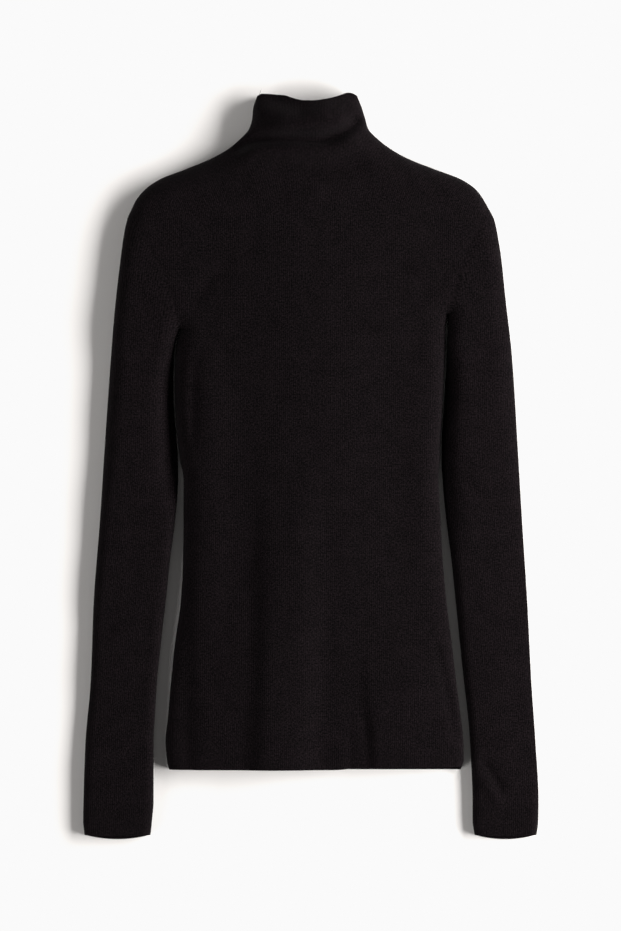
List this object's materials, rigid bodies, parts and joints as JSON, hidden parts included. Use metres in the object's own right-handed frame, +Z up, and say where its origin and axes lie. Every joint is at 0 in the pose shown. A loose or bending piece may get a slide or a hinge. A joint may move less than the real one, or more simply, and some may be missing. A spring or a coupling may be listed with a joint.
{
  "type": "turtleneck sweater",
  "caption": "Long-sleeved fine-knit turtleneck sweater laid flat and face up, with fitted waist, slouched collar and plain hem and cuffs",
  "frame": {"origin": "on the surface that the sweater lies on, under the middle of its bounding box", "axes": "+Y runs from hem to collar, +X to the wearer's left, +Z up from the surface through the front"},
  "size_m": [0.4412, 0.7208, 0.0375],
  "materials": {
    "knit": "fine matt jersey knit with a faint vertical wale, black"
  },
  "bodies": {
    "root": {"front": "knit", "back": "knit", "sleeve_right": "knit", "sleeve_left": "knit", "collar": "knit"}
  },
  "joints": []
}
